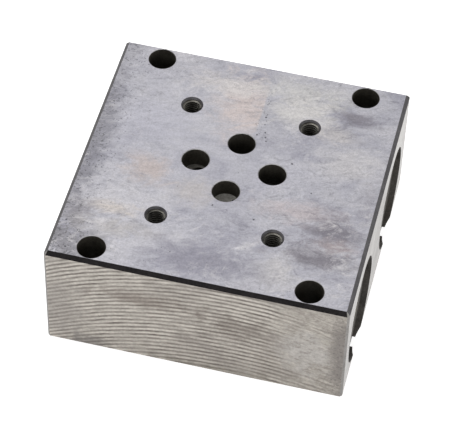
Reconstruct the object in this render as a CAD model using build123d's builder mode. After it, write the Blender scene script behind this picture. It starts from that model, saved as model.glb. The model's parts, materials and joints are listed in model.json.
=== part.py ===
"""Hydraulic manifold block: a single-station valve subplate milled from one billet.

Frame: millimetres, +Z up out of the valve face, origin at the centre of the
underside, +X towards the face with the two threaded side ports, -Y the front.
The body is a box with chamfered edges.  It carries

* four clearance holes through the corners,
* the size-03 valve pattern (four M5 threads and the ports P, A, T, B),
* two threaded side ports, each in a wide spotface that breaks out through the
  bottom edge, joined to A and B by slanting galleries,
* P and T drilled straight through to the underside, P with a narrower core
  drilled a little off its mouth's centre.

Threaded bores are cut at the thread's outer diameter.
"""

import os
from math import radians, tan

from build123d import *

os.makedirs("parts", exist_ok=True)

# ------------------------------------------------------------------ the block
WIDTH = 79.8            # X, across the side ports
DEPTH = 79.8            # Y, front to back
HEIGHT = 34.8           # Z, underside to valve face
TOP_CHAMFER = 1.0
CORNER_CHAMFER = 0.6    # the four upright edges
BOTTOM_CHAMFER = 0.8

# ------------------------------------------------- mounting holes, through
MOUNT_INSET_X = 11.4        # hole axis from the side faces
MOUNT_INSET_Y = 4.9         # hole axis from the front and back faces
MOUNT_DIAMETER = 7.5
MOUNT_EDGE_BREAK = 0.1

# ------------------------------------------------------------ valve pattern
THREAD_ROW_PITCH = 40.5     # Y between the front and the back pair
FRONT_PAIR_PITCH = 31.0     # X
BACK_PAIR_PITCH = 32.5      # X
VALVE_THREAD_DIAMETER = 5.0
VALVE_THREAD_DEPTH = 11.0
VALVE_THREAD_MOUTH = 6.0    # countersink at the face
PORT_DIAMETER = 7.4
PORT_EDGE_BREAK = 0.2
SIDE_PORT_OFFSET_X = 10.4   # P to the left, T to the right of the centre
CENTRE_LINE_Y = 1.25        # line through P and T
A_PORT_Y = -7.55
B_PORT_Y = 9.95
A_MEETS = 6.5               # below the valve face, where the gallery's axis meets the port's
A_DEPTH = 5.2               # to the start of the drill point
P_MOUTH_DEPTH = 6.0         # full diameter, from either face
P_CORE_DIAMETER = 5.5
P_CORE_OFFSET = 0.85        # X, of the core from the mouth's axis

# ---------------------------------------------------------- side ports, +X
SIDE_PITCH = 40.0           # Y between the two ports
SIDE_SHIFT = -0.6           # Y of the point midway between them
SIDE_HEIGHT = 14.2          # axis above the underside
SPOTFACE_DIAMETER = 28.6
SPOTFACE_DEPTH = 1.6
SIDE_THREAD_DIAMETER = 16.66
SIDE_THREAD_DEPTH = 14.5    # below the spotface floor
SIDE_THREAD_MOUTH = 18.2
GALLERY_DIAMETER = 6.0

DRILL_POINT = 118.0         # included angle of every drilled end

# ------------------------------------------------------------ derived values
side_x = WIDTH / 2
mount_radius = MOUNT_DIAMETER / 2
mount_pitch = (WIDTH - 2 * MOUNT_INSET_X, DEPTH - 2 * MOUNT_INSET_Y)
port_radius = PORT_DIAMETER / 2
gallery_radius = GALLERY_DIAMETER / 2
side_radius = SIDE_THREAD_DIAMETER / 2
spot_floor_x = side_x - SPOTFACE_DEPTH
side_floor_x = spot_floor_x - SIDE_THREAD_DEPTH
gallery_inset = 0.9 * (side_radius - gallery_radius)
b_meets = HEIGHT - SIDE_HEIGHT
b_depth = b_meets + gallery_radius + 0.5

front_threads = [(s * FRONT_PAIR_PITCH / 2, -THREAD_ROW_PITCH / 2) for s in (-1, 1)]
back_threads = [(s * BACK_PAIR_PITCH / 2, THREAD_ROW_PITCH / 2) for s in (-1, 1)]
valve_threads = front_threads + back_threads
p_port = (-SIDE_PORT_OFFSET_X, CENTRE_LINE_Y)
t_port = (SIDE_PORT_OFFSET_X, CENTRE_LINE_Y)
blind_ports = [(A_PORT_Y, A_DEPTH), (B_PORT_Y, b_depth)]
side_ports = [(SIDE_SHIFT - SIDE_PITCH / 2, A_PORT_Y, A_MEETS),
              (SIDE_SHIFT + SIDE_PITCH / 2, B_PORT_Y, b_meets)]

top = Plane.XY.offset(HEIGHT)
underside = Plane.XY.rotated((180, 0, 0))


def point_length(radius: float) -> float:
    """Length of a drill point of this radius."""
    return radius / tan(radians(DRILL_POINT / 2))


def face_plane(y: float, x: float) -> Plane:
    """Plane across the side-port axis at height SIDE_HEIGHT, looking outwards (+X)."""
    return Plane(origin=(x, y, SIDE_HEIGHT), x_dir=(0, 1, 0), z_dir=(1, 0, 0))


with BuildPart() as manifold_block:
    with BuildSketch(Plane.XY):
        Rectangle(WIDTH, DEPTH)
    extrude(amount=HEIGHT)
    chamfer(manifold_block.edges().filter_by(Axis.Z), CORNER_CHAMFER)
    chamfer(manifold_block.faces().sort_by(Axis.Z)[-1].edges(), TOP_CHAMFER)
    chamfer(manifold_block.faces().sort_by(Axis.Z)[0].edges(), BOTTOM_CHAMFER)

    # corner holes, edge-broken on both faces
    with Locations(top):
        with GridLocations(*mount_pitch, 2, 2):
            CounterSinkHole(mount_radius, mount_radius + MOUNT_EDGE_BREAK,
                            depth=HEIGHT, counter_sink_angle=90)
    with Locations(underside):
        with GridLocations(*mount_pitch, 2, 2):
            CounterSinkHole(mount_radius, mount_radius + MOUNT_EDGE_BREAK,
                            depth=HEIGHT, counter_sink_angle=90)

    # M5 threads of the valve pattern, blind with a drill point
    with Locations(top):
        with Locations(*valve_threads):
            CounterSinkHole(VALVE_THREAD_DIAMETER / 2, VALVE_THREAD_MOUTH / 2,
                            depth=VALVE_THREAD_DEPTH, counter_sink_angle=90)
    with Locations(top.offset(-VALVE_THREAD_DEPTH)):
        with Locations(*valve_threads):
            tip = point_length(VALVE_THREAD_DIAMETER / 2)
            Cone(0, VALVE_THREAD_DIAMETER / 2, tip,
                 align=(Align.CENTER, Align.CENTER, Align.MAX), mode=Mode.SUBTRACT)

    # P and T straight through, with a mouth of the port diameter on both faces
    for face, turn in ((top, 1), (underside, -1)):
        with Locations(face):
            with Locations((t_port[0], turn * t_port[1])):
                CounterSinkHole(port_radius, port_radius + PORT_EDGE_BREAK,
                                depth=HEIGHT / 2, counter_sink_angle=90)
            with Locations((p_port[0], turn * p_port[1])):
                CounterSinkHole(port_radius, port_radius + PORT_EDGE_BREAK,
                                depth=P_MOUTH_DEPTH, counter_sink_angle=90)
    with Locations(top):
        with Locations((p_port[0] + P_CORE_OFFSET, p_port[1])):
            Hole(P_CORE_DIAMETER / 2, depth=HEIGHT)

    # A and B blind: A is short, and B goes down to just under its gallery
    for port_y, depth in blind_ports:
        with Locations(top):
            with Locations((0, port_y)):
                CounterSinkHole(port_radius, port_radius + PORT_EDGE_BREAK,
                                depth=depth, counter_sink_angle=90)
        with Locations(top.offset(-depth)):
            with Locations((0, port_y)):
                Cone(0, port_radius, point_length(port_radius),
                     align=(Align.CENTER, Align.CENTER, Align.MAX), mode=Mode.SUBTRACT)

    # side ports: spotface, threaded bore with its mouth chamfer, drill point, gallery
    for side_y, valve_y, meets in side_ports:
        with BuildSketch(face_plane(side_y, spot_floor_x)):
            Circle(SPOTFACE_DIAMETER / 2)
        extrude(amount=SPOTFACE_DEPTH + 1, mode=Mode.SUBTRACT)
        with Locations(face_plane(side_y, spot_floor_x)):
            CounterSinkHole(side_radius, SIDE_THREAD_MOUTH / 2,
                            depth=SIDE_THREAD_DEPTH, counter_sink_angle=90)
        with Locations(face_plane(side_y, side_floor_x)):
            Cone(0, side_radius, point_length(side_radius),
                 align=(Align.CENTER, Align.CENTER, Align.MAX), mode=Mode.SUBTRACT)

        # the gallery leaves the port's floor off centre, towards its valve port
        target = Vector(0, valve_y, HEIGHT - meets)
        across = Vector(0, valve_y - side_y, target.Z - SIDE_HEIGHT).normalized()
        start = Vector(side_floor_x, side_y, SIDE_HEIGHT) + across * gallery_inset
        run = target - start
        with BuildSketch(Plane(origin=start, x_dir=(0, 0, 1), z_dir=run)):
            Circle(gallery_radius)
        extrude(amount=run.length, mode=Mode.SUBTRACT)

manifold_block.part.label = "manifold_block"
export_step(manifold_block.part, "parts/manifold_block.step")
print("volume mm3", round(manifold_block.part.volume, 1))
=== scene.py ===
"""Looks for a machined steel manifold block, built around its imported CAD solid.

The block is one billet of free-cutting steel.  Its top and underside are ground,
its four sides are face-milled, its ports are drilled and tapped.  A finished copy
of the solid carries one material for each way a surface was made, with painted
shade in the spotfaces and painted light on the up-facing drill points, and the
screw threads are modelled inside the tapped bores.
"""

import json
import logging
import math
from dataclasses import dataclass, field
from enum import Enum

import bpy
from mathutils import Matrix, Vector

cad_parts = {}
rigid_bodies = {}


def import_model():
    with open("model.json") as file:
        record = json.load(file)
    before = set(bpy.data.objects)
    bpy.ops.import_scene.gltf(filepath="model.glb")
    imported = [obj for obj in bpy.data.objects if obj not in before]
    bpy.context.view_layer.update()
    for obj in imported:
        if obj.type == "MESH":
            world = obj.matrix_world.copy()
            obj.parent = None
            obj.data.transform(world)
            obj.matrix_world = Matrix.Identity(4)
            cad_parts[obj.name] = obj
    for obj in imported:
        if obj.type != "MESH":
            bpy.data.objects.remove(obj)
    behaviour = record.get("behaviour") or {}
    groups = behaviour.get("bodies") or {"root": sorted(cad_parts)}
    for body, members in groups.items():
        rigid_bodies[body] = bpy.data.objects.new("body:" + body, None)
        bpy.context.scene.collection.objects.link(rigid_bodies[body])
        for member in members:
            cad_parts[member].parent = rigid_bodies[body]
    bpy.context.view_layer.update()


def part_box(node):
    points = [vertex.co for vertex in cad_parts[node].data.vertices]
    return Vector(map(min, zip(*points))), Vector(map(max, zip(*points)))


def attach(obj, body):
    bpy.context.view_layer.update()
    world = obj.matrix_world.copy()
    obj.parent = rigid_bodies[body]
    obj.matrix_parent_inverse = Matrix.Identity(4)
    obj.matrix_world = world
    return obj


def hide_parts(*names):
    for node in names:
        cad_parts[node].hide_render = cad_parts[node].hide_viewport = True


logging.basicConfig(level=logging.INFO, format="%(levelname)s %(message)s")
log = logging.getLogger("manifold")

MM = 0.001
BODY = "root"
NODE = "manifold_block"
SMOOTH_ANGLE = math.radians(28)
HALF_WIDTH = 39.9       # mm, from the middle to each side face
TOP_FACE = 34.8         # mm, above the underside
GRIND_TURN = -14.0      # degrees, of the grinding direction from X

Socket = bpy.types.NodeSocket
Tree = bpy.types.NodeTree


# --------------------------------------------------------------- small helpers
def linear(hex_colour: str) -> tuple[float, float, float, float]:
    """Turn an sRGB hex colour into linear RGBA.

    Args:
        hex_colour: six hex digits after a hash.

    Returns:
        Linear red, green and blue, and an alpha of 1.
    """
    channels = [int(hex_colour[i:i + 2], 16) / 255 for i in (1, 3, 5)]
    red, green, blue = (c / 12.92 if c <= 0.04045 else ((c + 0.055) / 1.055) ** 2.4 for c in channels)
    return red, green, blue, 1.0


def add_node(tree: Tree, kind: str, inputs: dict | None = None, **settings) -> bpy.types.Node:
    """Add one shader node with its settings, values and links.

    Args:
        tree: the node tree that takes the node.
        kind: the node's type, such as "ShaderNodeMath".
        inputs: socket name or number to a value, or to an output socket to link from.
        settings: attributes set on the node itself.

    Returns:
        The new node.
    """
    node = tree.nodes.new(kind)
    for name, value in settings.items():
        setattr(node, name, value)
    for name, value in (inputs or {}).items():
        if isinstance(value, Socket):
            tree.links.new(value, node.inputs[name])
        else:
            node.inputs[name].default_value = value
    return node


def seen_rays(tree: Tree) -> Socket:
    """Tell the rays that should see white: the camera's, reflected ones and those through glass.

    Args:
        tree: the node tree of the floor or the world.

    Returns:
        A socket that is 1 for those rays and 0 for the rays that light the block.
    """
    rays = add_node(tree, "ShaderNodeLightPath")
    seen = add_node(tree, "ShaderNodeMath",
                    {0: rays.outputs["Is Camera Ray"], 1: rays.outputs["Is Glossy Ray"]}, operation="MAXIMUM")
    return add_node(tree, "ShaderNodeMath", {0: seen.outputs[0], 1: rays.outputs["Is Transmission Ray"]},
                    operation="MAXIMUM").outputs[0]


def deselect_all() -> None:
    """Leave nothing selected, so that an operator acts only on what it is meant to."""
    if bpy.context.object and bpy.context.object.mode != "OBJECT":
        bpy.ops.object.mode_set(mode="OBJECT")
    bpy.ops.object.select_all(action="DESELECT")


def make_active(piece: bpy.types.Object) -> None:
    """Select one object alone and make it active."""
    deselect_all()
    piece.select_set(True)
    bpy.context.view_layer.objects.active = piece


# ------------------------------------------------------------------ the workings
@dataclass
class Canvas:
    """A material being painted: its tree, its shader and the place on the block."""

    name: str
    material: bpy.types.Material = field(init=False)
    tree: Tree = field(init=False)
    shader: bpy.types.Node = field(init=False)
    place: Socket = field(init=False)

    def __post_init__(self) -> None:
        """Start the material with a Principled shader and Object coordinates."""
        self.material = bpy.data.materials.new(self.name)
        self.material.use_nodes = True
        self.tree = self.material.node_tree
        self.tree.nodes.clear()
        self.shader = add_node(self.tree, "ShaderNodeBsdfPrincipled")
        add_node(self.tree, "ShaderNodeOutputMaterial", {"Surface": self.shader.outputs["BSDF"]})
        self.place = add_node(self.tree, "ShaderNodeTexCoord").outputs["Object"]

    def noise(self, size_mm: float, stretch: tuple = (1.0, 1.0, 1.0), turn_deg: float = 0.0,
              detail: float = 4.0, roughness: float = 0.55, distortion: float = 0.0,
              place: Socket | None = None) -> Socket:
        """Noise whose blotches are about a given size.

        Args:
            size_mm: size of a blotch.
            stretch: how many times longer a blotch is along each axis.
            turn_deg: turn of the stretched pattern about Z.
            detail: octaves of finer noise.
            roughness: strength of the finer octaves.
            distortion: how much the pattern swirls.
            place: coordinates to use instead of the place on the block.

        Returns:
            The noise value's socket, about 0.2 to 0.8.
        """
        turned = add_node(self.tree, "ShaderNodeMapping",
                          {"Vector": place or self.place, "Rotation": (0, 0, math.radians(turn_deg))})
        shaped = add_node(self.tree, "ShaderNodeMapping",
                          {"Vector": turned.outputs[0], "Scale": tuple(1 / s for s in stretch)})
        return add_node(self.tree, "ShaderNodeTexNoise",
                        {"Vector": shaped.outputs[0], "Scale": 1 / (size_mm * MM), "Detail": detail,
                         "Roughness": roughness, "Distortion": distortion}).outputs["Fac"]

    def remap(self, value: Socket, low: float, high: float, to_low: float, to_high: float) -> Socket:
        """Map a value from one range to another and clamp it there."""
        return add_node(self.tree, "ShaderNodeMapRange",
                        {"Value": value, "From Min": low, "From Max": high, "To Min": to_low,
                         "To Max": to_high}).outputs[0]

    def maths(self, operation: str, first: Socket | float, second: Socket | float = 0.0) -> Socket:
        """One step of arithmetic on two values."""
        return add_node(self.tree, "ShaderNodeMath", {0: first, 1: second}, operation=operation).outputs[0]

    def blend(self, amount: Socket | float, first: Socket | tuple, second: Socket | tuple) -> Socket:
        """Blend from the first colour, at 0, to the second, at 1."""
        return add_node(self.tree, "ShaderNodeMix", {0: amount, 6: first, 7: second},
                        data_type="RGBA").outputs[2]

    def shade(self, colour: Socket, amount: Socket) -> Socket:
        """Multiply a colour by a grey amount, 1 for no change."""
        return add_node(self.tree, "ShaderNodeVectorMath", {0: colour, "Scale": amount},
                        operation="SCALE").outputs[0]

    def axes(self) -> list[Socket]:
        """The place on the block as separate X, Y and Z sockets, in metres."""
        return list(add_node(self.tree, "ShaderNodeSeparateXYZ", {0: self.place}).outputs)

    def spot(self, patch: "Patch", wobble: Socket) -> Socket:
        """Mask of a soft-edged patch with a wandering outline.

        Args:
            patch: the patch's centre and size.
            wobble: noise that pushes the outline in and out.

        Returns:
            The mask's socket, 0 outside and the patch's strength at its middle.
        """
        centred = add_node(self.tree, "ShaderNodeVectorMath",
                           {0: self.place, 1: (patch.x * MM, patch.y * MM, patch.z * MM)},
                           operation="SUBTRACT")
        sized = add_node(self.tree, "ShaderNodeVectorMath",
                         {0: centred.outputs[0], 1: tuple(1 / (s * MM) for s in patch.size)},
                         operation="MULTIPLY")
        reach = add_node(self.tree, "ShaderNodeVectorMath", {0: sized.outputs[0]}, operation="LENGTH")
        pushed = self.maths("ADD", reach.outputs["Value"], self.remap(wobble, 0.28, 0.72, -0.75, 0.75))
        mask = self.remap(pushed, 0.3, 1.2, patch.strength, 0.0)
        if patch.limit_x is None:
            return mask
        cut = self.remap(self.axes()[0], (patch.limit_x - 0.3) * MM, (patch.limit_x + 0.3) * MM, 1.0, 0.0)
        return self.maths("MULTIPLY", mask, cut)

    def finish(self, colour: Socket | tuple, roughness: Socket | float, metallic: float,
               height: Socket | None = None, depth_mm: float = 0.02,
               strength: float = 0.3) -> bpy.types.Material:
        """Connect the painted values to the shader.

        Args:
            colour: base colour.
            roughness: roughness.
            metallic: metallic value.
            height: bump height, if the surface has relief.
            depth_mm: real depth of that relief.
            strength: strength of the bump.

        Returns:
            The finished material.
        """
        for name, value in (("Base Color", colour), ("Roughness", roughness), ("Metallic", metallic)):
            if isinstance(value, Socket):
                self.tree.links.new(value, self.shader.inputs[name])
            else:
                self.shader.inputs[name].default_value = value
        if height is not None:
            bump = add_node(self.tree, "ShaderNodeBump", {"Height": height, "Strength": strength,
                                                          "Distance": depth_mm * MM})
            self.tree.links.new(bump.outputs[0], self.shader.inputs["Normal"])
        return self.material


@dataclass(frozen=True)
class Patch:
    """A cloud of another tint on a face.

    Centre and half sizes are in mm.  A cloud with limit_x ends sharply at that X.
    """

    x: float
    y: float
    size: tuple[float, float, float]
    colour: str
    strength: float = 0.7
    z: float = TOP_FACE
    limit_x: float | None = None


# --------------------------------------------------------------------- finishes
@dataclass(frozen=True)
class GroundSteel:
    """Ground free-cutting steel, stained by handling and by the coolant.

    The eye sees a matt lavender grey with paler and warmer clouds, dark smudges, a
    fine drag along the grinding direction and a few black pits.
    """

    name: str = "ground_steel"
    base: str = "#b4b3bb"
    deep: str = "#a09faa"
    pale: str = "#c4c2c7"
    streak: str = "#cfccce"
    smudge: str = "#6f6d74"
    speck: str = "#25252b"
    roughness: float = 0.5
    metallic: float = 0.35
    patches: tuple[Patch, ...] = (
        Patch(-2.0, 24.0, (9.0, 12.0, 9.0), "#ccc0bd", 0.9, limit_x=2.6),
        Patch(-8.0, 30.5, (12.0, 4.0, 9.0), "#d2cdcc", 0.85, limit_x=2.6),
        Patch(13.0, 32.5, (13.0, 5.0, 9.0), "#c8c6c4", 0.8),
        Patch(14.0, 25.5, (9.0, 7.0, 9.0), "#d0cdcb", 0.9),
        Patch(-21.5, -5.5, (6.5, 6.0, 9.0), "#c0b3ae", 0.75),
        Patch(-28.0, -21.0, (8.0, 2.6, 9.0), "#c8c0ba", 0.85),
        Patch(-35.0, -24.0, (5.0, 6.0, 9.0), "#88858a", 0.85),
        Patch(15.0, 2.0, (10.0, 8.0, 9.0), "#b6b5be", 0.75),
        Patch(-26.0, -27.0, (11.0, 3.5, 9.0), "#b3afae", 0.75),
        Patch(-8.0, -9.5, (6.0, 5.0, 9.0), "#bcb6b4", 0.65),
        Patch(28.5, 10.0, (9.0, 6.0, 9.0), "#c4c1c3", 0.75),
        Patch(24.0, 19.5, (7.0, 3.5, 9.0), "#c6c1bf", 0.65),
        Patch(19.0, -30.5, (6.0, 6.5, 9.0), "#c4c1c2", 0.9),
        Patch(20.0, -10.0, (12.0, 4.0, 9.0), "#bdb3b5", 0.75),
        Patch(-25.0, 12.0, (12.0, 10.0, 9.0), "#b6b5bf", 0.75),
        Patch(28.0, 26.5, (6.0, 2.6, 9.0), "#7b7780", 0.8),
        Patch(30.5, -14.5, (8.0, 5.5, 9.0), "#75717a", 0.85),
        Patch(29.0, -24.0, (12.0, 4.0, 9.0), "#77737b", 0.9),
        Patch(37.0, -4.0, (3.0, 9.0, 9.0), "#96939b", 0.45),
        Patch(32.0, -19.0, (7.0, 2.4, 9.0), "#a59a9c", 0.8),
        Patch(2.0, -32.0, (17.0, 6.5, 9.0), "#84828e", 0.75),
        Patch(-38.5, 2.0, (5.0, 36.0, 9.0), "#797880", 0.75),
        Patch(-36.0, -34.0, (10.0, 6.0, 9.0), "#7f7d81", 0.8),
    )
    pit_places: tuple[tuple[float, float], ...] = (
        (4.1, 20.9), (4.4, 18.2), (5.1, 15.4), (5.6, 13.6), (6.1, 12.4), (3.2, 14.1), (9.3, -15.3),
        (-37.3, -27.7), (-35.0, -36.5), (-2.2, -13.1), (-33.5, -30.4), (14.6, 6.2), (21.7, -2.6),
    )

    def build(self) -> bpy.types.Material:
        """Make the material.

        Returns:
            The finished material.
        """
        paint = Canvas(self.name)
        along_x, along_y, _ = paint.axes()
        clouds = paint.noise(13.0, (1.5, 1.0, 1.0), GRIND_TURN, 8.0, 0.6, 0.7)
        colour = paint.blend(paint.remap(clouds, 0.34, 0.50, 0.0, 1.0), linear(self.deep), linear(self.base))
        colour = paint.blend(paint.remap(clouds, 0.50, 0.72, 0.0, 1.0), colour, linear(self.pale))
        wobble = paint.noise(5.5, (1.5, 1.0, 1.0), GRIND_TURN, 9.0, 0.72, 1.2)
        for patch in self.patches:
            colour = paint.blend(paint.spot(patch, wobble), colour, linear(patch.colour))

        # pale rubbed streaks and grey smudges between a few tenths and a few millimetres wide
        fibre = paint.noise(3.2, (1.7, 1.0, 1.0), GRIND_TURN, 9.0, 0.74, 1.4)
        where = paint.noise(19.0, detail=3.0)
        middle = paint.spot(Patch(-12.0, 4.0, (24.0, 24.0, 9.0), self.base, 0.75), wobble)
        front_band = paint.spot(Patch(-2.0, -31.0, (22.0, 9.0, 9.0), self.base, 0.8), wobble)
        calm = paint.maths("MAXIMUM", middle, front_band)
        stirred = paint.maths("SUBTRACT", 1.0, calm)
        rubbed = paint.maths("MULTIPLY", paint.remap(fibre, 0.50, 0.66, 0.0, 0.85),
                             paint.remap(where, 0.44, 0.56, 0.15, 1.0))
        colour = paint.blend(paint.maths("MULTIPLY", rubbed, stirred), colour, linear(self.streak))
        smudged = paint.maths("MULTIPLY", paint.remap(fibre, 0.47, 0.33, 0.0, 0.6),
                              paint.remap(where, 0.57, 0.45, 0.2, 1.0))
        colour = paint.blend(paint.maths("MULTIPLY", smudged, stirred), colour, linear(self.smudge))

        # dried coolant leaves thin dark tide lines in the stirred areas
        tide = paint.noise(3.0, (1.5, 1.0, 1.0), GRIND_TURN, 7.0, 0.68, 2.0)
        tide = paint.maths("ABSOLUTE", paint.maths("SUBTRACT", tide, 0.5))
        lines = paint.maths("MULTIPLY", paint.remap(tide, 0.0, 0.03, 0.32, 0.0), stirred)
        colour = paint.blend(lines, colour, linear(self.smudge))

        drag = paint.noise(1.0, (4.5, 1.0, 1.0), GRIND_TURN, 6.0, 0.7)
        # the ground grain is about 0.05 mm; it is drawn at 0.45 mm so that it shows
        grain = paint.noise(0.45, (1.0, 1.0, 1.0), 0.0, 3.0, 0.65)
        relief = paint.maths("ADD", paint.maths("MULTIPLY", drag, 0.7), grain)
        colour = paint.shade(colour, paint.remap(relief, 0.62, 1.08, 0.87, 1.13))

        # corrosion specks crowd along the left edge and thin out inwards
        specks = paint.noise(0.75, (1.0, 1.0, 1.0), 0.0, 3.0, 0.7)
        crowd = paint.remap(along_x, -HALF_WIDTH * MM, -24.0 * MM, 0.13, 0.0)
        front = paint.remap(along_y, -HALF_WIDTH * MM, -26.0 * MM, 0.05, 0.0)
        seam = paint.spot(Patch(3.4, 24.0, (1.8, 12.0, 9.0), self.speck, 0.10), wobble)
        level = paint.maths("SUBTRACT", 0.70, paint.maths("ADD", paint.maths("ADD", crowd, front), seam))
        dots = paint.maths("GREATER_THAN", specks, level)
        colour = paint.blend(paint.maths("MULTIPLY", dots, 0.5), colour, linear(self.speck))

        # a few pits where the bar had inclusions
        pits = None
        for x, y in self.pit_places:
            away = add_node(paint.tree, "ShaderNodeVectorMath",
                            {0: paint.place, 1: (x * MM, y * MM, TOP_FACE * MM)},
                            operation="DISTANCE").outputs["Value"]
            away = paint.maths("ADD", away, paint.remap(specks, 0.35, 0.65, -0.12 * MM, 0.16 * MM))
            pit = paint.remap(away, 0.16 * MM, 0.34 * MM, 0.85, 0.0)
            pits = pit if pits is None else paint.maths("MAXIMUM", pits, pit)
        colour = paint.blend(pits, colour, linear(self.speck))
        rough = paint.remap(relief, 0.6, 1.1, self.roughness + 0.08, self.roughness - 0.08)
        return paint.finish(colour, rough, self.metallic, relief, 0.02, 0.35)


@dataclass(frozen=True)
class MilledSteel:
    """Face-milled steel left as the cutter left it.

    The eye sees warm grey steel crossed by the arcs of a large cutter fed down the
    face, one ridge for each turn, with pale crests, dull valleys and smears.
    """

    name: str = "milled_steel"
    crest: str = "#cac4bb"
    valley: str = "#655d57"
    smear: str = "#857e78"
    chip: str = "#3d3937"
    cutter_radius_mm: float = 100.0
    cutter_x_mm: float = 10.5
    feed_mm: float = 1.5
    roughness: float = 0.42
    metallic: float = 0.45
    patches: tuple[Patch, ...] = (
        Patch(29.0, -HALF_WIDTH, (9.0, 30.0, 9.0), "#b9b5b1", 0.8, 16.0),
        Patch(13.0, -HALF_WIDTH, (11.0, 30.0, 5.0), "#6f665f", 0.6, 20.0),
        Patch(-14.0, -HALF_WIDTH, (14.0, 30.0, 3.0), "#756a62", 0.6, 24.0),
        Patch(20.0, -HALF_WIDTH, (5.0, 30.0, 9.0), "#7d746c", 0.3, 12.0),
        Patch(4.0, -HALF_WIDTH, (16.0, 30.0, 1.8), "#767066", 0.5, 1.5),
        Patch(-35.0, -HALF_WIDTH, (7.0, 30.0, 17.0), "#8d8782", 0.55, 12.0),
        Patch(38.5, -HALF_WIDTH, (3.0, 30.0, 20.0), "#7d7773", 0.85, 17.0),
        Patch(-28.0, -HALF_WIDTH, (6.0, 30.0, 3.0), "#6f6a67", 0.6, 1.5),
    )

    def build(self) -> bpy.types.Material:
        """Make the material.

        Returns:
            The finished material.
        """
        paint = Canvas(self.name)
        along_x, _, up = paint.axes()
        # height of the ridge through this point, where it crosses the middle of the face
        radius = self.cutter_radius_mm * MM
        aside = paint.maths("SUBTRACT", along_x, self.cutter_x_mm * MM)
        across = paint.maths("MULTIPLY", aside, aside)
        chord = paint.maths("SQRT", paint.maths("SUBTRACT", radius * radius, across))
        ridge = paint.maths("SUBTRACT", up, chord)
        wander = paint.remap(paint.noise(11.0, detail=2.0), 0.2, 0.8, -0.5, 0.5)
        lazy = paint.maths("MULTIPLY", wander, 0.5 * MM)
        ridge = paint.maths("ADD", ridge, lazy)
        turns = paint.maths("MULTIPLY", ridge, 1 / (self.feed_mm * MM))
        wave = paint.maths("SINE", paint.maths("MULTIPLY", turns, 2 * math.pi))

        # each ridge has its own brightness, which changes slowly along it
        lane = add_node(paint.tree, "ShaderNodeCombineXYZ",
                        {0: paint.maths("MULTIPLY", along_x, 0.16), 2: ridge}).outputs[0]
        streak = paint.noise(0.75, (1.0, 1.0, 1.0), 0.0, 3.0, 0.6, place=lane)
        fibre = paint.noise(0.3, (1.0, 1.0, 1.0), 0.0, 2.0, 0.5, place=lane)
        weight = paint.remap(paint.noise(13.0, (1.6, 1.0, 1.0), 0.0, 4.0), 0.35, 0.62, 0.45, 1.0)
        ragged = paint.maths("ADD", along_x, paint.maths("MULTIPLY", paint.remap(
            paint.noise(7.0, detail=5.0), 0.25, 0.75, -5.0, 5.0), MM))
        weight = paint.maths("MULTIPLY", weight, paint.remap(ragged, 20.0 * MM, 25.0 * MM, 1.0, 0.22))
        ridges = paint.maths("MULTIPLY", wave, weight)
        relief = paint.maths("ADD", paint.remap(ridges, -1.0, 1.0, 0.0, 0.55),
                             paint.maths("MULTIPLY", streak, 0.8))
        relief = paint.maths("ADD", relief, paint.maths("MULTIPLY", fibre, 0.25))
        colour = paint.blend(paint.remap(relief, 0.46, 1.04, 0.0, 1.0),
                             linear(self.valley), linear(self.crest))

        smears = paint.noise(12.0, (1.8, 1.0, 1.0), 0.0, 5.0, 0.6, 0.6)
        colour = paint.blend(paint.remap(smears, 0.50, 0.68, 0.0, 0.65), colour, linear(self.smear))
        wobble = paint.noise(5.0, (1.0, 1.0, 1.0), 0.0, 5.0, 0.65)
        for patch in self.patches:
            colour = paint.blend(paint.spot(patch, wobble), colour, linear(patch.colour))
        grit = paint.noise(0.6, (1.0, 1.0, 1.0), 0.0, 3.0, 0.7)
        colour = paint.shade(colour, paint.remap(grit, 0.3, 0.7, 0.82, 1.16))
        # past the ridges' ragged end the face is scuffed across its whole depth
        scuff = paint.noise(1.5, (1.6, 1.0, 1.0), 0.0, 6.0, 0.78)
        scuffed = paint.maths("MULTIPLY", paint.remap(scuff, 0.50, 0.36, 0.0, 0.75),
                              paint.remap(ragged, 19.0 * MM, 27.0 * MM, 0.0, 1.0))
        colour = paint.blend(scuffed, colour, linear(self.smear))
        # dark chips crowd along the right-hand edge
        crowd = paint.remap(along_x, 30.0 * MM, HALF_WIDTH * MM, 0.0, 0.12)
        chips = paint.maths("GREATER_THAN", paint.noise(0.7, detail=3.0, roughness=0.7),
                            paint.maths("SUBTRACT", 0.69, crowd))
        colour = paint.blend(paint.maths("MULTIPLY", chips, 0.45), colour, linear(self.chip))
        rough = paint.remap(relief, 0.4, 1.1, self.roughness + 0.12, self.roughness - 0.06)
        return paint.finish(colour, rough, self.metallic, relief, 0.06, 0.5)


@dataclass(frozen=True)
class SideSteel:
    """Finely milled side face, brighter than the front and lightly scuffed."""

    name: str = "fine_milled_steel"
    base: str = "#bfbcb9"
    dull: str = "#a19d9b"
    feed_mm: float = 0.55
    roughness: float = 0.4
    metallic: float = 0.4

    def build(self) -> bpy.types.Material:
        """Make the material.

        Returns:
            The finished material.
        """
        paint = Canvas(self.name)
        _, along_y, up = paint.axes()
        lane = add_node(paint.tree, "ShaderNodeCombineXYZ",
                        {0: paint.maths("MULTIPLY", along_y, 0.05), 2: up}).outputs[0]
        lines = paint.noise(self.feed_mm, (1.0, 1.0, 1.0), 0.0, 3.0, 0.6, place=lane)
        clouds = paint.noise(9.0, (1.0, 1.6, 1.0), 0.0, 5.0, 0.62, 0.5)
        colour = paint.blend(paint.remap(clouds, 0.42, 0.66, 0.0, 0.8), linear(self.base), linear(self.dull))
        colour = paint.shade(colour, paint.remap(lines, 0.3, 0.7, 0.90, 1.08))
        grit = paint.noise(0.6, detail=4.0, roughness=0.72)
        colour = paint.shade(colour, paint.remap(grit, 0.3, 0.7, 0.78, 1.18))
        return paint.finish(colour, self.roughness, self.metallic, lines, 0.02, 0.3)


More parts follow.
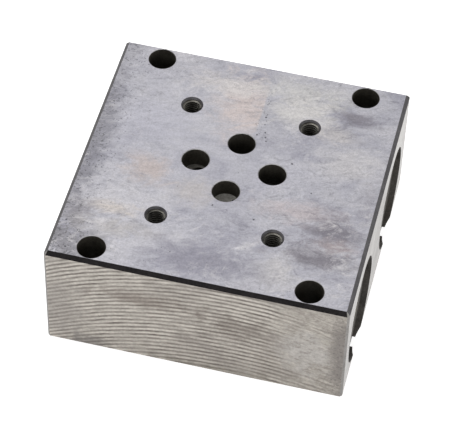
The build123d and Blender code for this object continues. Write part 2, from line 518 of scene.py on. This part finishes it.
@dataclass(frozen=True)
class PlainSteel:
    """Cut steel of one tint with a fine grain: chamfers, bores, spotfaces with painted shade and drill points
    with painted light.
    """

    name: str
    tint: str
    dull: str
    roughness: float = 0.45
    metallic: float = 0.6
    grain_mm: float = 0.5
    sheen: float = 0.5

    def build(self) -> bpy.types.Material:
        """Make the material.

        Returns:
            The finished material.
        """
        paint = Canvas(self.name)
        blotch = paint.noise(4.0, detail=4.0, roughness=0.6)
        grain = paint.noise(self.grain_mm, detail=2.0)
        tone = paint.maths("ADD", blotch, paint.maths("MULTIPLY", grain, 0.5))
        colour = paint.blend(paint.remap(tone, 0.55, 0.95, 0.0, 1.0), linear(self.dull), linear(self.tint))
        paint.shader.inputs["Specular IOR Level"].default_value = self.sheen
        return paint.finish(colour, self.roughness, self.metallic, grain, 0.015, 0.3)


class Surface(Enum):
    """How a face of the block was made, with the finish that it gets; the spotface's finish carries painted
    shade and the drill point's painted light.
    """

    GROUND = GroundSteel()
    MILLED = MilledSteel()
    SIDE = SideSteel()
    FRONT_CHAMFER = PlainSteel("scaled_chamfer", "#2b2829", "#1a1819", 0.75, 0.0, sheen=0.12)
    UPRIGHT_EDGE = PlainSteel("upright_edge", "#9b9895", "#7f7b78", 0.5, 0.3)
    SIDE_CHAMFER = PlainSteel("side_chamfer", "#565456", "#3b393b", 0.55, 0.3)
    BORE = PlainSteel("drilled_bore", "#5b574f", "#3b3832", 0.45, 0.45)
    # painted light: the up-facing drill points get a paler copy of the bore steel that stands in for the
    # light falling into the ports from above
    PORT_FLOOR = PlainSteel("drill_point", "#a5a29c", "#7d7a75", 0.5, 0.3)
    # painted shade: the spotface's floor and wall get a dark tint that stands in for the shadow inside the
    # recess
    SPOTFACE = PlainSteel("spotface", "#57534e", "#35322e", 0.5, 0.4)
    MOUTH = PlainSteel("broken_edge", "#bab9bb", "#969597", 0.4, 0.5)
    THREAD_MOUTH = PlainSteel("thread_mouth", "#5a585b", "#252325", 0.5, 0.4, grain_mm=0.28)


# ------------------------------------------------------------------- the pieces
@dataclass
class Block:
    """The billet with its drillings, finished face by face.

    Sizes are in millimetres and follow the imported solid.
    """

    high: Vector
    top_chamfer: float = 1.0
    tolerance: float = 0.02
    spot_depth: float = 1.6
    side_mouth_radius: float = 9.1
    spot_reach: float = 14.4
    side_ports: tuple[tuple[float, float], ...] = ((-20.6, 14.2), (19.4, 14.2))
    port_floor: float = 7.8
    screw_places: tuple[tuple[float, float], ...] = ((15.5, -20.25), (16.25, 20.25))
    screw_reach: float = 3.2
    materials: dict[Surface, int] = field(default_factory=dict)

    def surface_of(self, centre: Vector, normal: Vector) -> Surface:
        """Tell how a face was made from its place and direction.

        Args:
            centre: the face's middle, in mm.
            normal: its direction.

        Returns:
            The face's surface.
        """
        top, edge_x, edge_y = self.high.z, self.high.x, self.high.y
        flat_x, flat_y, flat_z = (abs(c) > 0.995 for c in normal)
        if flat_z and (centre.z > top - self.tolerance or centre.z < self.tolerance):
            return Surface.GROUND
        if flat_y and abs(centre.y) > edge_y - self.tolerance:
            return Surface.MILLED
        if flat_x and abs(centre.x) > edge_x - self.tolerance:
            return Surface.SIDE
        # the spotface's floor and wall, whose dark tint is painted shade
        if centre.x > edge_x - self.spot_depth - self.tolerance:
            reach = min(math.hypot(centre.y - y, centre.z - z) for y, z in self.side_ports)
            if flat_x or (abs(normal.x) < 0.05 and self.side_mouth_radius < reach < self.spot_reach):
                return Surface.SPOTFACE
        sloped = 0.6 < abs(normal.z) < 0.8
        if sloped and abs(centre.y) > edge_y - self.top_chamfer - 0.1 and abs(normal.y) > 0.65:
            return Surface.FRONT_CHAMFER if centre.z > 5 else Surface.SIDE
        if sloped and abs(centre.x) > edge_x - self.top_chamfer - 0.1 and abs(normal.x) > 0.65:
            return Surface.SIDE_CHAMFER if centre.z > 5 else Surface.SIDE
        if sloped and (centre.z > top - 0.6 or centre.z < 0.6):
            screw = min(math.hypot(abs(centre.x) - x, centre.y - y) for x, y in self.screw_places)
            return Surface.THREAD_MOUTH if screw < self.screw_reach else Surface.MOUTH
        if abs(centre.x) > edge_x - 0.7 and abs(centre.y) > edge_y - 0.7:
            return Surface.UPRIGHT_EDGE
        # up-facing faces inside the ports take the paler tint, which is painted light
        if normal.z > 0.3 and centre.z > top - self.port_floor:
            return Surface.PORT_FLOOR
        return Surface.BORE

    def build(self) -> bpy.types.Object:
        """Make the finished copy of the solid and give each face its material.

        Returns:
            The finished block.
        """
        source = next(o for o in bpy.data.objects if o.name == NODE or o.name.startswith(NODE))
        piece = source.copy()
        piece.data = source.data.copy()
        piece.name = "finished_block"
        bpy.context.scene.collection.objects.link(piece)
        make_active(piece)
        bpy.ops.object.mode_set(mode="EDIT")
        bpy.ops.mesh.select_all(action="SELECT")
        bpy.ops.mesh.remove_doubles(threshold=0.002 * MM)
        bpy.ops.mesh.customdata_custom_splitnormals_clear()
        bpy.ops.object.mode_set(mode="OBJECT")
        piece.data.materials.clear()
        for surface in Surface:
            self.materials[surface] = len(piece.data.materials)
            piece.data.materials.append(surface.value.build())
        for face in piece.data.polygons:
            face.material_index = self.materials[self.surface_of(face.center / MM, face.normal)]
        bpy.ops.object.shade_smooth_by_angle(angle=SMOOTH_ANGLE)
        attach(piece, BODY)
        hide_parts(NODE)
        return piece


@dataclass
class Thread:
    """A screw thread inside a tapped bore, as one helical ridge.

    Sizes are in millimetres.  The ridge's root lies just inside the bore's wall and
    its crest at the thread's inner diameter.
    """

    name: str
    start: Vector
    inwards: Vector
    bore_radius: float
    pitch: float
    length: float
    steps: int = 40

    def build(self, material: bpy.types.Material) -> bpy.types.Object:
        """Model the ridge from a six-sided profile swept along a helix.

        Args:
            material: the cut steel's material.

        Returns:
            The finished thread.
        """
        crest = 0.54 * self.pitch
        deselect_all()
        bpy.ops.mesh.primitive_circle_add(vertices=6, radius=1.0, fill_type="NGON", enter_editmode=True,
                                          location=(0, 0, 0), rotation=(math.pi / 2, 0, 0))
        bpy.ops.transform.resize(value=(crest / 0.866, 1.0, 0.46 * self.pitch))
        bpy.ops.transform.translate(value=(self.bore_radius + 0.05 * self.pitch, 0, 0))
        bpy.ops.object.mode_set(mode="OBJECT")
        piece = bpy.context.object
        piece.name = self.name
        make_active(piece)
        bpy.ops.object.transform_apply(location=True, rotation=True, scale=True)
        turns = max(2, round(self.length / self.pitch))
        helix = piece.modifiers.new("helix", "SCREW")
        helix.axis = "Z"
        helix.screw_offset = -self.pitch
        helix.iterations = turns
        helix.steps = self.steps
        helix.render_steps = self.steps
        bpy.ops.object.modifier_apply(modifier=helix.name)
        bpy.ops.object.mode_set(mode="EDIT")
        bpy.ops.mesh.select_all(action="SELECT")
        bpy.ops.mesh.remove_doubles(threshold=0.001)
        bpy.ops.mesh.normals_make_consistent(inside=False)
        bpy.ops.object.mode_set(mode="OBJECT")
        turn = Vector((0, 0, -1)).rotation_difference(self.inwards).to_matrix().to_4x4()
        piece.data.transform(Matrix.Scale(MM, 4) @ Matrix.Translation(self.start) @ turn)
        piece.data.materials.clear()
        piece.data.materials.append(material)
        bpy.ops.object.shade_smooth_by_angle(angle=SMOOTH_ANGLE)
        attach(piece, BODY)
        return piece


@dataclass
class ThreadSet:
    """All the threads: four for the valve's screws and two for the side fittings."""

    high: Vector
    row_y: float = 20.25
    front_x: float = 15.5
    back_x: float = 16.25
    screw_radius: float = 2.5
    screw_pitch: float = 0.8
    screw_length: float = 9.0
    side_ports: tuple[tuple[str, float], ...] = (("a", -20.6), ("b", 19.4))
    side_z: float = 14.2
    fitting_radius: float = 8.33
    fitting_pitch: float = 1.337
    fitting_length: float = 10.5
    spot_depth: float = 1.6

    def build(self) -> list[bpy.types.Object]:
        """Model every thread.

        Returns:
            The finished threads.
        """
        cut = PlainSteel("cut_thread", "#726f69", "#2a2825", 0.36, 0.7, grain_mm=0.35).build()
        pieces = []
        down = Vector((0, 0, -1))
        for row, half in (("front", self.front_x), ("back", self.back_x)):
            for side, sign in (("left", -1), ("right", 1)):
                y = -self.row_y if row == "front" else self.row_y
                start = Vector((sign * half, y, self.high.z - 0.95))
                pieces.append(Thread(f"valve_thread_{row}_{side}", start, down, self.screw_radius,
                                     self.screw_pitch, self.screw_length).build(cut))
        for name, y in self.side_ports:
            start = Vector((self.high.x - self.spot_depth - 1.7, y, self.side_z))
            pieces.append(Thread(f"side_thread_{name}", start, Vector((-1, 0, 0)), self.fitting_radius,
                                 self.fitting_pitch, self.fitting_length, 56).build(cut))
        return pieces


# -------------------------------------------------------------------- the studio
@dataclass
class Studio:
    """White sweep, soft lamps and the camera, in metres around the block."""

    camera_place: Vector = field(default_factory=lambda: Vector((86.51, -396.05, 480.9)) * MM)
    azimuth: float = 12.23
    elevation: float = 48.93
    roll: float = 2.116
    lens_mm: float = 176.82
    sensor_mm: float = 36.0
    floor_size: float = 3.0
    floor_glow: float = 0.72
    world_soft: float = 0.36

    def backdrop_white(self, tree: Tree, shaded: Socket, base: float) -> Socket:
        """Make a surface show as white to the camera and in reflections.

        Args:
            tree: the floor's node tree.
            shaded: the floor's lit shader, which keeps the shadow.
            base: strength of the white that doesn't depend on the lamps.

        Returns:
            The combined shader's socket.
        """
        glow = add_node(tree, "ShaderNodeEmission", {"Color": (1, 1, 1, 1), "Strength": base})
        lifted = add_node(tree, "ShaderNodeAddShader", {0: glow.outputs[0], 1: shaded})
        return add_node(tree, "ShaderNodeMixShader",
                        {0: seen_rays(tree), 1: shaded, 2: lifted.outputs[0]}).outputs[0]

    def floor(self) -> bpy.types.Object:
        """Lay the pale floor that the block stands on.

        Returns:
            The floor.
        """
        deselect_all()
        bpy.ops.mesh.primitive_plane_add(size=self.floor_size, location=(0, 0, -0.0001))
        floor = bpy.context.object
        floor.name = "studio_floor"
        material = bpy.data.materials.new("white_sweep")
        material.use_nodes = True
        tree = material.node_tree
        tree.nodes.clear()
        paper = add_node(tree, "ShaderNodeBsdfDiffuse", {"Color": linear("#f4f4f4"), "Roughness": 0.5})
        surface = self.backdrop_white(tree, paper.outputs[0], self.floor_glow)
        add_node(tree, "ShaderNodeOutputMaterial", {"Surface": surface})
        floor.data.materials.append(material)
        return floor

    def world(self) -> None:
        """Light the scene from all round, and show as white behind the block."""
        world = bpy.data.worlds.new("studio_world")
        bpy.context.scene.world = world
        world.use_nodes = True
        tree = world.node_tree
        tree.nodes.clear()
        soft = add_node(tree, "ShaderNodeBackground", {"Color": (1, 1, 1, 1), "Strength": self.world_soft})
        white = add_node(tree, "ShaderNodeBackground", {"Color": (1, 1, 1, 1), "Strength": 1.0})
        mixed = add_node(tree, "ShaderNodeMixShader",
                         {0: seen_rays(tree), 1: soft.outputs[0], 2: white.outputs[0]})
        add_node(tree, "ShaderNodeOutputWorld", {"Surface": mixed.outputs[0]})

    def lamp(self, name: str, place: tuple[float, float, float], size: float, watts: float) -> None:
        """Hang a square soft lamp aimed at the block.

        Args:
            name: the lamp's name.
            place: where it hangs, in metres.
            size: its side, in metres.
            watts: its power.
        """
        data = bpy.data.lights.new(name, "AREA")
        data.shape = "SQUARE"
        data.size = size
        data.energy = watts
        lamp = bpy.data.objects.new(name, data)
        lamp.location = place
        lamp.rotation_euler = (-Vector(place)).to_track_quat("-Z", "Y").to_euler()
        bpy.context.scene.collection.objects.link(lamp)

    def camera(self) -> None:
        """Set up the long-lens camera that looks down on the front right corner."""
        azimuth, elevation, roll = (math.radians(a) for a in (self.azimuth, self.elevation, self.roll))
        back = Vector((math.sin(azimuth) * math.cos(elevation), -math.cos(azimuth) * math.cos(elevation),
                       math.sin(elevation)))
        level = (-back).cross(Vector((0, 0, 1))).normalized()
        above = level.cross(-back)
        right = level * math.cos(roll) + above * math.sin(roll)
        up = above * math.cos(roll) - level * math.sin(roll)
        data = bpy.data.cameras.new("camera")
        data.sensor_width = self.sensor_mm
        data.sensor_fit = "HORIZONTAL"
        data.lens = self.lens_mm
        data.clip_start = 0.01
        data.clip_end = 20
        camera = bpy.data.objects.new("camera", data)
        turn = Matrix((right, up, back)).transposed().to_4x4()
        camera.matrix_world = Matrix.Translation(self.camera_place) @ turn
        bpy.context.scene.collection.objects.link(camera)
        bpy.context.scene.camera = camera

    def build(self) -> None:
        """Set up the floor, the world, the lamps and the camera."""
        self.floor()
        self.world()
        self.lamp("key", (-0.35, 0.25, 0.9), 0.6, 3.4)
        self.lamp("front_fill", (0.1, -0.9, 0.35), 0.6, 1.8)
        self.lamp("side_fill", (0.9, -0.1, 0.25), 0.5, 1.6)
        self.camera()


def main() -> None:
    """Build the block, its threads and the studio, and report each piece."""
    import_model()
    high = Vector(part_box(NODE)[1]) / MM
    block = Block(high).build()
    log.info("piece %s, %d faces", block.name, len(block.data.polygons))
    for thread in ThreadSet(high).build():
        log.info("piece %s, %d faces", thread.name, len(thread.data.polygons))
    Studio().build()
    bpy.context.scene.view_settings.view_transform = "Standard"


if __name__ == "__main__":
    main()
